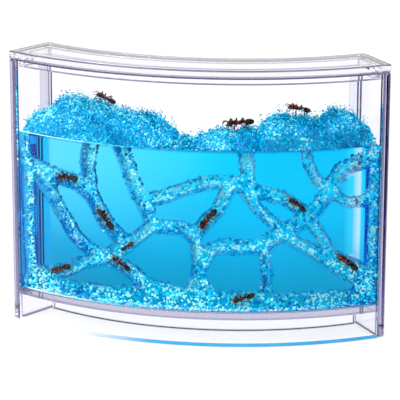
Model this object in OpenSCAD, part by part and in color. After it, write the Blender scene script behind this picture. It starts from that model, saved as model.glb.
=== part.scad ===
// Curved clear ant habitat: a bowed tank of clear panels on a hollow plinth, a lift-off lid with a
// locating rim, blue gel with dug tunnels, heaps of dug-out gel crumbs and twelve ants.
// Front faces -Y, +Z is up. The origin is the centre of the base. Units are millimetres.
// The front, the back and the lid follow arcs about one upright axis that lies behind the tank.

/* [Overall] */
// straight-line width across the front corners
front_width = 190; // [180:1:200]
// how far the front bows out of that line
front_bow = 28; // [20:0.5:34]
// depth of the tank along a radius, outer face to outer face
tank_depth = 28; // [24:0.5:36]
// height from the base to the top of the lid
total_height = 140; // [120:1:150]

/* [Panels] */
// thickness of the curved front and back panels
curved_wall = 3.5; // [2:0.25:5]
// thickness of the two flat end panels
end_wall = 4; // [2:0.25:6]
// height of the hollow plinth under the floor
plinth_height = 13; // [8:0.5:20]
// thickness of the floor panel
floor_thickness = 4; // [2:0.25:6]

/* [Lid] */
// thickness of the lid plate
lid_thickness = 4; // [2:0.25:6]
// how far the locating rim reaches down into the tank
rim_height = 4; // [2:0.25:8]
// wall thickness of the locating rim
rim_wall = 2.5; // [1.5:0.25:4]
// gap between the locating rim and the panels
rim_gap = 0.4; // [0.3:0.05:1]

/* [Gel] */
// height of the gel surface above the base
gel_top = 99; // [80:1:110]
// gap left between the gel or the floor and the clear panels
fit_gap = 0.05; // [0.02:0.01:0.2]
// how deep the tunnels reach behind the front face of the gel
tunnel_depth = 6.5; // [4:0.25:9]

/* [Ants] */
// size factor of every ant
ant_scale = 1.2; // [0.7:0.05:1.25]
// distance from the front panel to the middle of an ant in a tunnel
ant_inset = 3.1; // [2:0.1:5]

/* [Hidden] */
$fn = 96;
half_width = front_width / 2;
front_radius = (half_width * half_width + front_bow * front_bow) / (2 * front_bow);
back_radius = front_radius - tank_depth;
half_angle = asin(half_width / front_radius);
// the arcs are centred here, so that the base is centred on the origin
arc_y = (front_radius + back_radius * cos(half_angle)) / 2;
inner_front = front_radius - curved_wall;
inner_back = back_radius + curved_wall;
middle_radius = (inner_front + inner_back) / 2;
panel_top = total_height - lid_thickness;
floor_top = plinth_height + floor_thickness;
rim_bottom = panel_top - rim_height;
arc_facets = 360;
net_facets = 20;
rod_sides = 6;
body_sides = 10;

clear_tint = [0.86, 0.9, 0.95, 0.4];
gel_tint = [0.0, 0.66, 0.94];
crumb_tint = [0.2, 0.68, 0.9];
ant_tint = [0.28, 0.07, 0.04];

// Tunnels as lines on the front of the gel, each [width, [[x, z], ...]].
tunnels = [
    // down the left end
    [5.5, [[-87, 101], [-86, 92], [-84, 80], [-84, 60], [-84, 40], [-83, 27], [-81, 22]]],
    // from the left shaft down to the right
    [7, [[-85, 84], [-79, 82], [-70, 79.5], [-57, 78], [-52, 74]]],
    // long slanted run under it
    [5.5, [[-78, 77], [-72, 71], [-68, 64], [-59, 50], [-54, 46], [-45, 41]]],
    // second shaft, bending right to the junction
    [6.5, [[-50, 101], [-52, 90], [-51, 74], [-43, 60], [-32, 48]]],
    // third shaft
    [6.5, [[-36, 101], [-32, 92], [-27, 78], [-21, 67], [-19, 60]]],
    // upper gallery, an arch across the middle
    [6, [[-23, 73], [-14, 75], [-2, 80], [6, 83], [14, 84], [24, 83], [34, 79], [46, 75], [56, 67]]],
    // short shaft down to the arch
    [6.5, [[26, 101], [27, 94], [28, 83]]],
    // branch slanting down to the left
    [6.5, [[19, 81], [13, 69], [8, 64], [2, 56]]],
    // branch slanting down to the right
    [5, [[26, 80], [33, 70], [38, 65], [47, 58]]],
    // middle gallery
    [6, [[-35, 46], [-28, 52], [-19, 60], [-5, 60], [2, 57]]],
    // lower shaft and its fork
    [5.5, [[2, 57], [4, 45], [4, 39], [1, 27]]],
    [5, [[4, 39], [6, 33], [11, 24]]],
    // long gallery from the top right, sweeping down to the middle
    [7, [[87, 95], [78, 91], [72, 88], [67, 80], [61, 70], [53, 63], [42, 56], [32, 51], [15, 51]]],
    [6, [[15, 51], [10, 49], [6, 41]]],
    // upright link to the floor
    [5, [[36, 51], [37, 38], [37, 25]]],
    // short neck from the gel surface
    [5, [[55, 101], [56, 93], [60, 84], [66, 79]]],
    // down the right end
    [5.5, [[88.5, 101], [87.5, 90], [87.5, 60], [87.2, 25]]],
    // link to the right end
    [5, [[68, 78], [71, 74], [77, 71], [82, 72], [86, 76]]],
    // lower right gallery
    [5.5, [[48, 55], [60, 47], [69, 39], [79, 32], [85, 24]]],
    [5.5, [[58, 63], [64, 53], [69, 43], [75, 34]]],
    [6.5, [[70, 44], [76, 40], [81, 36], [85, 29]]],
    // lower left gallery
    [6, [[-83, 26], [-72, 28.5], [-61, 33], [-57, 36], [-44, 41], [-34, 48]]],
    [6, [[-45, 42], [-38, 40], [-30, 35.5], [-22, 29], [-6, 26]]],
    // gallery along the floor
    [9, [[-83, 21.2], [-70, 21], [-35, 21]]],
    [11, [[-35, 21.5], [36, 22]]],
    [9, [[36, 21.4], [71, 21.2], [88.5, 21.2]]]
];

// Ants in the tunnels: [x, z, heading in degrees up from +X, size].
tunnel_ants = [
    [-64.6, 78.7, 180, 1.1], [-44.1, 61.2, 130, 1.15], [-31.1, 47.9, 36, 0.75],
    [-36.2, 38.6, 148, 1], [-68.6, 29.8, 203, 1.1], [7.7, 63.2, 230, 1.15],
    [50.3, 71.9, 139, 1], [74.5, 40.4, 142, 1.2], [24.9, 23.3, 197, 1.05]
];

// Ants on the heaps: [x, z of the feet, heading in degrees up from +X, size].
surface_ants = [[-45, 118.6, 159, 1], [21.2, 109.1, 184, 1.25], [49.5, 116.4, 164, 1.05]];

// Half the outline of an ant's body, [distance from its axis, place along it], tail to head.
body_outline = [[0, -5.6], [0.85, -5.2], [1.25, -4.4], [1.25, -3.5], [0.8, -2.7], [0.3, -2.35],
                [0.5, -2.05], [0.3, -1.75], [0.75, -1.3], [0.75, -0.4], [0.95, 0.3], [0.6, 1],
                [1.05, 1.5], [1.2, 2.2], [0.9, 2.9], [0, 3.3]];

// Heaps: [x, height over the gel, radius of the foot].
left_humps = [[-85, 7, 8], [-75, 12, 10], [-61, 20.5, 14], [-49, 20, 16], [-37, 17, 14], [-24, 16, 13],
              [-15, 11, 8], [-7, 5, 8]];
centre_humps = [[1, 3.8, 7], [6, 6.5, 8], [15, 10, 10], [26, 10.5, 10]];
right_humps = [[42, 17, 13], [53, 16, 13], [61, 13, 11], [69, 18.5, 10], [77, 11, 9], [84, 5, 6]];
// the heaps meet on these upright planes
left_seam = -1;
right_seam = 32;

// An upright ring about the arc axis, outer to inner radius.
module ring(outer, inner, low, tall) {
    translate([0, arc_y, low])
    difference() {
        cylinder(r = outer, h = tall, $fn = arc_facets);
        translate([0, 0, -1]) cylinder(r = inner, h = tall + 2, $fn = arc_facets);
    }
}

// The wedge between the two end faces, drawn in from them by inset.
module wedge(inset, low, tall) {
    reach = front_radius * 1.4;
    translate([0, arc_y - inset / sin(half_angle), low - 1])
    linear_extrude(height = tall + 2)
    polygon([[0, 0], [-reach * sin(half_angle), -reach * cos(half_angle)],
             [reach * sin(half_angle), -reach * cos(half_angle)]]);
}

// A curved bar: part of a ring, cut off square at both ends.
module arc_bar(outer, inner, inset, low, tall) {
    intersection() {
        ring(outer, inner, low, tall);
        wedge(inset, low, tall);
    }
}

module curved_panel(outer, inner) {
    color(clear_tint) arc_bar(outer, inner, end_wall, 0, panel_top);
}

module front_panel() {
    curved_panel(front_radius, inner_front);
}

module back_panel() {
    curved_panel(inner_back, back_radius);
}

// A flat end wall; side is -1 on the left and 1 on the right.
module end_panel(side) {
    color(clear_tint)
    intersection() {
        ring(front_radius, back_radius, 0, panel_top);
        translate([0, arc_y, 0])
        rotate([0, 0, side * half_angle])
        translate([side > 0 ? -end_wall : 0, -front_radius - 5, 0])
        cube([end_wall, tank_depth + 10, panel_top]);
    }
}

module left_end_panel() {
    end_panel(-1);
}

module right_end_panel() {
    end_panel(1);
}

module floor_panel() {
    color(clear_tint)
    arc_bar(inner_front - fit_gap, inner_back + fit_gap, end_wall + fit_gap, plinth_height, floor_thickness);
}

// One run of tunnel, drawn flat.
module tunnel_run(width, stops) {
    for (i = [0 : len(stops) - 2])
        hull() {
            translate(stops[i]) circle(d = width, $fn = net_facets);
            translate(stops[i + 1]) circle(d = width, $fn = net_facets);
        }
}

module tunnel_net() {
    for (run = tunnels)
        tunnel_run(run[0], run[1]);
}

// The gel, with the tunnels sunk into its front face.
module gel_block() {
    gel_height = gel_top - floor_top;
    gel_front = inner_front - fit_gap;
    color(gel_tint)
    difference() {
        arc_bar(gel_front, inner_back + fit_gap, end_wall + fit_gap, floor_top, gel_height);
        intersection() {
            ring(gel_front + 1, gel_front - tunnel_depth, floor_top - 1, gel_height + 2);
            translate([0, arc_y, 0]) rotate([90, 0, 0])
            linear_extrude(height = front_radius + 5) tunnel_net();
        }
    }
}

// A round-topped heap standing on the gel.
module hump(place, height, foot) {
    ball = (foot * foot + height * height) / (2 * height);
    turn = asin(place / middle_radius);
    translate([0, arc_y, 0]) rotate([0, 0, turn])
    translate([0, -middle_radius, gel_top + height - ball]) sphere(r = ball);
}

// A row of humps, kept between two upright planes across the tank.
module heap(humps, low_x, high_x) {
    color(crumb_tint)
    intersection() {
        arc_bar(inner_front - fit_gap, inner_back + fit_gap, end_wall + fit_gap, gel_top, 30);
        translate([low_x, -front_radius, 0]) cube([high_x - low_x, 2 * front_radius, total_height]);
        union() {
            for (h = humps)
                hump(h[0], h[1], h[2]);
        }
    }
}

module crumb_mound_left() {
    heap(left_humps, -half_width, left_seam - fit_gap);
}

module crumb_mound_centre() {
    heap(centre_humps, left_seam, right_seam);
}

module crumb_mound_right() {
    heap(right_humps, right_seam + fit_gap, half_width);
}

module lid_plate() {
    color(clear_tint) arc_bar(front_radius, back_radius, 0, panel_top, lid_thickness);
}

module lid_locating_rim() {
    outer = inner_front - rim_gap;
    inner = inner_back + rim_gap;
    inset = end_wall + rim_gap;
    color(clear_tint)
    difference() {
        arc_bar(outer, inner, inset, rim_bottom, rim_height);
        arc_bar(outer - rim_wall, inner + rim_wall, inset + rim_wall, rim_bottom - 1, rim_height + 2);
    }
}

// A thin straight rod between two points.
module rod(from, to, thick) {
    run = to - from;
    flat = norm([run[0], run[1]]);
    translate(from)
    rotate([0, atan2(flat, run[2]), atan2(run[1], run[0])])
    cylinder(d = thick, h = norm(run), $fn = rod_sides);
}

// One leg on the side given by side: hip, knee and foot.
module leg(hip, foot, side) {
    start = [hip, side * 0.2, 0];
    knee = [(hip + foot) / 2, side * 1.35, 0.8];
    above_knee = knee + [0, side * 0.07, 0.12];
    end = [foot, side * 1.9, -1.25];
    rod(start, knee, 0.34);
    rod(above_knee, end, 0.28);
}

// An ant that faces +X with its feet below.
module ant_figure(size) {
    scale(ant_scale * size) {
        rotate([0, 90, 0]) rotate_extrude($fn = body_sides) polygon(body_outline);
        for (side = [-1, 1]) {
            leg(0.7, 2.6, side);
            leg(0, 0.3, side);
            leg(-0.9, -2.8, side);
            // feelers
            rod([2.5, side * 0.3, 0.4], [3.9, side * 0.9, 1], 0.26);
            rod([3.75, side * 0.84, 1], [4.8, side * 0.7, 0.2], 0.24);
            // jaws
            rod([2.7, side * 0.35, -0.1], [3.75, side * 0.15, -0.25], 0.3);
        }
    }
}

// An ant on the upright arc at this reach, its body's middle at the given height and its feet below.
module placed_ant(place, reach, height) {
    turn = asin(place[0] / reach);
    faces_left = cos(place[2]) < 0;
    color(ant_tint)
    translate([0, arc_y, height]) rotate([0, 0, turn])
    translate([0, -reach, 0])
    rotate([0, faces_left ? 180 - place[2] : -place[2], 0])
    rotate([0, 0, faces_left ? 180 : 0])
    ant_figure(place[3]);
}

// An ant that walks along a tunnel.
module tunnel_ant(place) {
    placed_ant(place, inner_front - ant_inset, place[1]);
}

// An ant that stands on a heap.
module surface_ant(place) {
    placed_ant(place, middle_radius, place[1] + 1.4 * ant_scale * place[3]);
}

front_panel();
back_panel();
left_end_panel();
right_end_panel();
floor_panel();
gel_block();
crumb_mound_left();
crumb_mound_centre();
crumb_mound_right();
lid_plate();
lid_locating_rim();
surface_ant(surface_ants[0]);  // ant_01
surface_ant(surface_ants[1]);  // ant_02
surface_ant(surface_ants[2]);  // ant_03
tunnel_ant(tunnel_ants[0]);  // ant_04
tunnel_ant(tunnel_ants[1]);  // ant_05
tunnel_ant(tunnel_ants[2]);  // ant_06
tunnel_ant(tunnel_ants[3]);  // ant_07
tunnel_ant(tunnel_ants[4]);  // ant_08
tunnel_ant(tunnel_ants[5]);  // ant_09
tunnel_ant(tunnel_ants[6]);  // ant_10
tunnel_ant(tunnel_ants[7]);  // ant_11
tunnel_ant(tunnel_ants[8]);  // ant_12
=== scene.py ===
"""Curved clear ant habitat with blue gel, dug tunnels, crumb heaps and ants.

Lengths are metres in the part's frame: the front faces -Y, +Z is up and the base stands on z = 0.
Places along the tank are polar, about the upright axis on which all its arcs are centred, and a share
of an arc runs from -1 at its left end to 1 at its right one.
"""
import math

import bmesh
import bpy
import numpy as np
from mathutils import Matrix, Vector, noise
from mathutils.bvhtree import BVHTree


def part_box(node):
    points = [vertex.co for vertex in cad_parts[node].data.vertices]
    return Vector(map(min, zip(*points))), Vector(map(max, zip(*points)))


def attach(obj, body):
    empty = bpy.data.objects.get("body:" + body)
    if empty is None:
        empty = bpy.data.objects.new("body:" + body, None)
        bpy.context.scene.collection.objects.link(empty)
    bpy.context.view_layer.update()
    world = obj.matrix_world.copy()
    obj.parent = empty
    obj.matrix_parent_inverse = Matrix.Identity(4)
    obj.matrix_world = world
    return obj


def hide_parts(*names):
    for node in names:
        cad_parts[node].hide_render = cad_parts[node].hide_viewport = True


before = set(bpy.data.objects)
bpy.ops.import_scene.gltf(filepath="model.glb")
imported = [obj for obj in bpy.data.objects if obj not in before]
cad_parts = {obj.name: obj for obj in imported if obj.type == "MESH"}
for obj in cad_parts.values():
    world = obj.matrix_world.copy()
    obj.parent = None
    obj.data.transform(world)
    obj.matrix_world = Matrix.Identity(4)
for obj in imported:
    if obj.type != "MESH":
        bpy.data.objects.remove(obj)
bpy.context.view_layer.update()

MM = 0.001

# -------------------------------- sizes: boxes from the frame, the bow and the walls as in the part

lid_low, lid_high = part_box("lid_plate")
floor_low, floor_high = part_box("floor_panel")
HALF_WIDTH = lid_high.x
FRONT_BOW = 28 * MM
TANK_DEPTH = 28 * MM
CURVED_WALL = 3.5 * MM
END_WALL = 4 * MM
RIM_GAP = 0.4 * MM
RIM_WALL = 2.5 * MM
FRONT_RADIUS = (HALF_WIDTH ** 2 + FRONT_BOW ** 2) / (2 * FRONT_BOW)
BACK_RADIUS = FRONT_RADIUS - TANK_DEPTH
HALF_ANGLE = math.asin(HALF_WIDTH / FRONT_RADIUS)
ARC_Y = (FRONT_RADIUS + BACK_RADIUS * math.cos(HALF_ANGLE)) / 2
INNER_FRONT = FRONT_RADIUS - CURVED_WALL
INNER_BACK = BACK_RADIUS + CURVED_WALL
PANEL_TOP = lid_low.z
LID_TOP = lid_high.z
RIM_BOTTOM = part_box("lid_locating_rim")[0].z
FLOOR_BOTTOM = floor_low.z
FLOOR_TOP = floor_high.z
GEL_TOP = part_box("gel_block")[1].z
JOINT_GAP = 0.03 * MM
GEL_GAP = 0.04 * MM


def arc_end(radius, inset):
    """Angle at which a line parallel to the end face, inset from it, meets this radius."""
    return HALF_ANGLE - math.asin(inset / radius)


def polar(radius, angle, z):
    """A point at this radius and angle from the arc axis; angle 0 points to the front."""
    return Vector((radius * math.sin(angle), ARC_Y - radius * math.cos(angle), z))


def share_at(column, columns):
    return 2 * column / columns - 1


def clamp(value, low=0.0, high=1.0):
    return min(high, max(low, value))


# -------------------------------- meshes

MERGE_DISTANCE = 1e-7
# edges sharper than these, in degrees, are rounded or shaded sharp
ROUNDED_OVER = 40
SHARP_OVER = 30


def linked(name, data):
    obj = bpy.data.objects.new(name, data)
    bpy.context.scene.collection.objects.link(obj)
    return obj


def new_object(name, points, faces, materials=(), face_slots=None):
    mesh = bpy.data.meshes.new(name)
    mesh.from_pydata([tuple(p) for p in points], [], faces)
    for m in materials:
        mesh.materials.append(m)
    if face_slots is not None:
        mesh.polygons.foreach_set("material_index", face_slots)
    mesh.validate()
    mesh.update()
    return linked(name, mesh)


def outward(obj, merge=True):
    """Turns every face outwards, with doubles merged first."""
    bm = bmesh.new()
    bm.from_mesh(obj.data)
    if merge:
        bmesh.ops.remove_doubles(bm, verts=bm.verts, dist=MERGE_DISTANCE)
    bmesh.ops.recalc_face_normals(bm, faces=bm.faces)
    bm.to_mesh(obj.data)
    bm.free()


def baked(obj, name):
    """Replaces a live object by one with its modifiers applied."""
    deps = bpy.context.evaluated_depsgraph_get()
    mesh = bpy.data.meshes.new_from_object(obj.evaluated_get(deps))
    old = obj.data
    bpy.data.objects.remove(obj)
    if old.users == 0:
        bpy.data.meshes.remove(old)
    return linked(name, mesh)


def shade(obj, angle):
    mesh = obj.data
    mesh.polygons.foreach_set("use_smooth", [True] * len(mesh.polygons))
    mesh.set_sharp_from_angle(angle=math.radians(angle))
    mesh.update()


def soft_edges(obj, width, segments=2):
    """Rounds the sharp edges, in the object's second material, whose colour is their painted shade, and
    shades the rest smooth.
    """
    bevel = obj.modifiers.new("rounded", "BEVEL")
    bevel.width = width
    bevel.segments = segments
    bevel.limit_method = "ANGLE"
    bevel.angle_limit = math.radians(ROUNDED_OVER)
    bevel.harden_normals = True
    bevel.material = 1
    shade(obj, SHARP_OVER)
    return baked(obj, obj.name)


def ring_faces(rows, columns, closed=True):
    """Quads between rows of equally many points."""
    faces = []
    last = columns if closed else columns - 1
    for r in range(rows - 1):
        for c in range(last):
            a = r * columns + c
            b = r * columns + (c + 1) % columns
            faces.append((a, b, b + columns, a + columns))
    return faces


def tube_faces(rows, columns):
    """Quads between closed rows, and a cap at each end."""
    top = (rows - 1) * columns
    caps = [tuple(range(columns)), tuple(top + k for k in reversed(range(columns)))]
    return ring_faces(rows, columns) + caps


def set_mark(mesh, label, values):
    """Writes a number for every point, which the materials or the crumbs read."""
    mark = mesh.attributes.get(label) or mesh.attributes.new(label, "FLOAT", "POINT")
    mark.data.foreach_set("value", values)


def place(obj, body, slot, *nodes):
    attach(obj, body)
    if nodes:
        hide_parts(*nodes)
    return obj


# -------------------------------- nodes

def feed(tree, socket, given):
    """Links another node's output into a socket, or sets the socket's own value."""
    if isinstance(given, bpy.types.NodeSocket):
        tree.links.new(given, socket)
    else:
        socket.default_value = given


def add(tree, kind, **inputs):
    """A node with these inputs; an underscore stands for the space in an input's name."""
    node = tree.nodes.new(kind)
    for key, given in inputs.items():
        feed(tree, node.inputs[key.replace("_", " ")], given)
    return node


def calculated(tree, operation, first, second):
    node = tree.nodes.new("ShaderNodeMath")
    node.operation = operation
    feed(tree, node.inputs[0], first)
    feed(tree, node.inputs[1], second)
    return node.outputs[0]


def ranged(tree, value, low, high, from_low=0.0, from_high=1.0):
    node = add(tree, "ShaderNodeMapRange", Value=value, From_Min=from_low, From_Max=from_high,
               To_Min=low, To_Max=high)
    return node.outputs["Result"]


def ramp_of(tree, value, stops):
    node = add(tree, "ShaderNodeValToRGB", Fac=value)
    elements = node.color_ramp.elements
    while len(elements) < len(stops):
        elements.new(0.5)
    for element, (position, colour) in zip(elements, stops):
        element.position = position
        element.color = (*colour, 1)
    return node.outputs["Color"]


def mixed(tree, factor, first, second):
    """A colour mix; each side is a socket or a plain colour."""
    node = tree.nodes.new("ShaderNodeMix")
    node.data_type = "RGBA"
    feed(tree, node.inputs["Factor"], factor)
    for given, socket in ((first, node.inputs[6]), (second, node.inputs[7])):
        feed(tree, socket, (*given, 1) if isinstance(given, tuple) else given)
    return node.outputs[2]


def mixed_shader(tree, factor, first, second):
    node = tree.nodes.new("ShaderNodeMixShader")
    for socket, given in zip(node.inputs, (factor, first.outputs[0], second.outputs[0])):
        feed(tree, socket, given)
    return node


def show(tree, out, shader):
    tree.links.new(shader.outputs[0], out.inputs["Surface"])


def attribute(tree, name):
    node = tree.nodes.new("ShaderNodeAttribute")
    node.attribute_name = name
    return node.outputs["Fac"]


def parted(tree, vector):
    return add(tree, "ShaderNodeSeparateXYZ", Vector=vector).outputs


def object_place(tree):
    return parted(tree, tree.nodes.new("ShaderNodeTexCoord").outputs["Object"])


def marks_group():
    """Fine marks that a moulded or wet surface has: a patchy mask and a height."""
    group = bpy.data.node_groups.new("surface_marks", "ShaderNodeTree")
    for label, side in (("Patch Scale", "INPUT"), ("Grain Scale", "INPUT"),
                        ("Patches", "OUTPUT"), ("Height", "OUTPUT")):
        group.interface.new_socket(label, in_out=side, socket_type="NodeSocketFloat")
    given = group.nodes.new("NodeGroupInput")
    out = group.nodes.new("NodeGroupOutput")
    coords = group.nodes.new("ShaderNodeTexCoord")
    for label, detail, target in (("Patch Scale", 3, "Patches"), ("Grain Scale", 2, "Height")):
        texture = add(group, "ShaderNodeTexNoise", Detail=detail, Vector=coords.outputs["Object"],
                      Scale=given.outputs[label])
        group.links.new(texture.outputs["Fac"], out.inputs[target])
    return group


MARKS = marks_group()


def add_marks(tree, patch_scale, grain_scale):
    """The patchy mask and the height of the fine marks, at these scales."""
    node = tree.nodes.new("ShaderNodeGroup")
    node.node_tree = MARKS
    node.inputs["Patch Scale"].default_value = patch_scale
    node.inputs["Grain Scale"].default_value = grain_scale
    return node.outputs["Patches"], node.outputs["Height"]


# -------------------------------- materials

PLASTIC_IOR = 1.49
GEL_IOR = 1.34
SHELL_IOR = 1.5
GEL_SPECULAR = 0.02
PLASTIC_ABSORBS = (0.70, 0.68, 0.86)
GEL_ABSORBS = (0.854, 0.955, 0.997)
GEL_DENSITY = 260
# how fine the patches and the grain of each finish are
PLASTIC_SCALES = (60, 900)
GEL_SCALES = (22, 500)
CRUMB_SCALES = (70, 2500)
LIP_SCALES = (300, 2500)
CORE_SCALES = (70, 1200)
SHELL_SCALES = (1100, 6000)


def material(name, **inputs):
    """A new material with a Principled shader: the material, its tree, its output and the shader."""
    mat = bpy.data.materials.new(name)
    mat.use_nodes = True
    tree = mat.node_tree
    tree.nodes.clear()
    out = tree.nodes.new("ShaderNodeOutputMaterial")
    return mat, tree, out, add(tree, "ShaderNodeBsdfPrincipled", **inputs)


def add_grain(tree, body, height, strength, distance=0.1 * MM):
    bump = add(tree, "ShaderNodeBump", Strength=strength, Distance=distance, Height=height)
    tree.links.new(bump.outputs["Normal"], body.inputs["Normal"])


def let_lamps_through(tree, out, body):
    """Light from lamps goes straight through a clear solid, so what stands behind it is lit."""
    lets_through = tree.nodes.new("ShaderNodeBsdfTransparent")
    path = tree.nodes.new("ShaderNodeLightPath")
    show(tree, out, mixed_shader(tree, path.outputs["Is Shadow Ray"], body, lets_through))


def absorb(tree, out, colour, density):
    volume = add(tree, "ShaderNodeVolumeAbsorption", Color=(*colour, 1), Density=density)
    tree.links.new(volume.outputs[0], out.inputs["Volume"])


def clear_material(name, colour, most_rough, specular, density):
    """Clear moulded plastic with a faint grain and hand marks."""
    mat, tree, out, body = material(name, Base_Color=(*colour, 1), IOR=PLASTIC_IOR, Transmission_Weight=1.0,
                                    Specular_Tint=(specular, specular, specular, 1))
    patches, height = add_marks(tree, *PLASTIC_SCALES)
    feed(tree, body.inputs["Roughness"], ranged(tree, patches, 0, most_rough, 0.5, 0.8))
    add_grain(tree, body, height, 0.01)
    let_lamps_through(tree, out, body)
    absorb(tree, out, PLASTIC_ABSORBS, density)
    return mat


# the foot's painted reflection of the gel's blue, from its darker to its lighter patches, its pale colour
# where that is gone, and where along X it fades in
FOOT_REFLECTED_BLUES = ((0.0, 0.25, 0.55), (0.02, 0.45, 0.78))
FOOT_PALE = (0.8, 0.78, 0.86)
FOOT_FADES_IN = (-60 * MM, -20 * MM)


def painted_reflection_foot_material():
    """Painted reflection: the blue that the gel throws into the front panel's underside, painted on an
    opaque band, gone at its left end.
    """
    mat, tree, out, body = material("foot_painted_reflection", Roughness=0.3, IOR=PLASTIC_IOR)
    patches = add_marks(tree, *PLASTIC_SCALES)[0]
    along = ranged(tree, object_place(tree)["X"], 0, 0.97, *FOOT_FADES_IN)
    feed(tree, body.inputs["Base Color"], mixed(tree, along, FOOT_PALE, mixed(tree, patches, *FOOT_REFLECTED_BLUES)))
    show(tree, out, body)
    return mat


# the gel's colours: by height, painted light above and painted shade below, then painted light at its upper
# right and upper left, and painted shade at its ends and along the tunnel rims
GEL_LIGHT_AND_SHADE_STOPS = ((0.0, (0.002, 0.38, 0.53)), (0.45, (0.005, 0.6, 0.85)), (0.95, (0.01, 0.86, 1)))
GEL_LIGHT_RIGHT = (0.0, 0.68, 0.98)
GEL_LIGHT_LEFT = (0.28, 1, 1)
GEL_END_SHADE = (0.0, 0.52, 0.98)
GEL_RIM_SHADE = (0.0, 0.35, 0.7)
# where those and the pale upright band, a painted highlight, come in, along X and up Z
RIGHT_X, RIGHT_Z = (0, 40 * MM), (55 * MM, 90 * MM)
LEFT_X, LEFT_Z = (-75 * MM, 12 * MM), (42 * MM, 88 * MM)
HIGHLIGHT_BAND_FROM_X, HIGHLIGHT_BAND_TO_X, HIGHLIGHT_BAND_Z = (73.5 * MM, 76.5 * MM), (80.7 * MM, 81.4 * MM), (28 * MM, 50 * MM)


def gel_material():
    """Clear blue gel with painted light and shade: paler at its upper left and upper right, a painted
    highlight band near its right end, and painted shade low down, at its ends and along the tunnel rims.
    """
    mat, tree, out, body = material("blue_gel", IOR=GEL_IOR, Transmission_Weight=1.0,
                                    Specular_Tint=(0.1, 0.2, 0.3, 1))
    at = object_place(tree)
    patches, height = add_marks(tree, *GEL_SCALES)

    def both(first, second):
        return calculated(tree, "MULTIPLY", first, second)

    level = calculated(tree, "ADD", ranged(tree, at["Z"], 0, 1, FLOOR_TOP, GEL_TOP),
                       ranged(tree, patches, -0.12, 0.12))
    right = both(ranged(tree, at["X"], 0, 0.9, *RIGHT_X), ranged(tree, at["Z"], 0, 1, *RIGHT_Z))
    left = both(ranged(tree, at["X"], 1, 0, *LEFT_X), ranged(tree, at["Z"], 0, 1, *LEFT_Z))
    highlight_band = both(ranged(tree, at["Z"], 0, 1, *HIGHLIGHT_BAND_Z),
                both(ranged(tree, at["X"], 0, 1, *HIGHLIGHT_BAND_FROM_X), ranged(tree, at["X"], 1, 0, *HIGHLIGHT_BAND_TO_X)))
    colour = ramp_of(tree, level, GEL_LIGHT_AND_SHADE_STOPS)
    for factor, other in ((right, GEL_LIGHT_RIGHT), (left, GEL_LIGHT_LEFT), (highlight_band, (1, 1, 1)),
                          (attribute(tree, "end"), GEL_END_SHADE), (attribute(tree, "rim"), GEL_RIM_SHADE)):
        colour = mixed(tree, factor, colour, other)
    feed(tree, body.inputs["Base Color"], colour)
    torn = both(attribute(tree, "wall"), 0.35)
    feed(tree, body.inputs["Roughness"], calculated(tree, "MAXIMUM", ranged(tree, patches, 0, 0.04), torn))
    add_grain(tree, body, height, 0.01)
    let_lamps_through(tree, out, body)
    absorb(tree, out, GEL_ABSORBS, GEL_DENSITY)
    return mat


# painted shade on the crumbs beside the tunnels' walls
CRUMB_WALL_SHADE = (0.0, 0.24, 0.56)


def crumb_material(name, stops, under, spread=0.9, clear=0.0):
    """Wet crumbs of gel, with painted light and shade: bright tops, deep blue undersides, a brighter own
    tone higher up and darker beside the tunnels' walls; each crumb and each patch its own tone, lighter just
    over the gel.
    """
    mat, tree, out, body = material(name, Roughness=0.25, IOR=GEL_IOR, Specular_IOR_Level=GEL_SPECULAR,
                                    Transmission_Weight=clear)
    patches, height = add_marks(tree, *CRUMB_SCALES)
    z = object_place(tree)["Z"]
    # painted light: each crumb's own tone is brighter higher up a heap
    crest_light = ranged(tree, z, 0.7, 1, GEL_TOP + 3 * MM, GEL_TOP + 14 * MM)
    own = calculated(tree, "MULTIPLY", ranged(tree, attribute(tree, "tone"), 0, spread), crest_light)
    patch = ranged(tree, patches, -0.26, 0.33, 0.35, 0.65)
    low_down = ranged(tree, z, 0.2, -0.05, GEL_TOP, GEL_TOP + 16 * MM)
    tone = calculated(tree, "ADD", calculated(tree, "ADD", own, patch), low_down)
    # painted shade: the under colour on each crumb's underside
    on_top = ranged(tree, attribute(tree, "top"), 0, 1, 0.15, 0.6)
    colour = mixed(tree, on_top, under, ramp_of(tree, tone, stops))
    # painted shade beside the tunnels' walls
    wall_shade = calculated(tree, "MULTIPLY", attribute(tree, "wall"), 0.85)
    feed(tree, body.inputs["Base Color"], mixed(tree, wall_shade, colour, CRUMB_WALL_SHADE))
    add_grain(tree, body, height, 0.3)
    if clear:
        let_lamps_through(tree, out, body)
    else:
        show(tree, out, body)
    return mat


# the lips' painted highlight, white at the left, and painted shade, deep blue further along X
LIP_HIGHLIGHT_STOPS = ((0.1, (0.55, 1, 1)), (0.4, (0.12, 0.75, 0.95)), (0.75, (0.0, 0.3, 0.62)))
LIP_HIGHLIGHT_FADES = (-85 * MM, 10 * MM)


def lip_highlight_material():
    """Wet gel drawn out thin against the front panel, painted with a highlight, white at its left end, and
    with shade, deep blue further on.
    """
    mat, tree, out, body = material("gel_lip", Roughness=0.3, IOR=GEL_IOR, Specular_IOR_Level=GEL_SPECULAR)
    patches, height = add_marks(tree, *LIP_SCALES)
    along = ranged(tree, object_place(tree)["X"], 0, 1, *LIP_HIGHLIGHT_FADES)
    tone = calculated(tree, "ADD", along, ranged(tree, patches, -0.15, 0.15, 0.3, 0.7))
    feed(tree, body.inputs["Base Color"], ramp_of(tree, tone, LIP_HIGHLIGHT_STOPS))
    add_grain(tree, body, height, 0.2)
    show(tree, out, body)
    return mat


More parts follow.
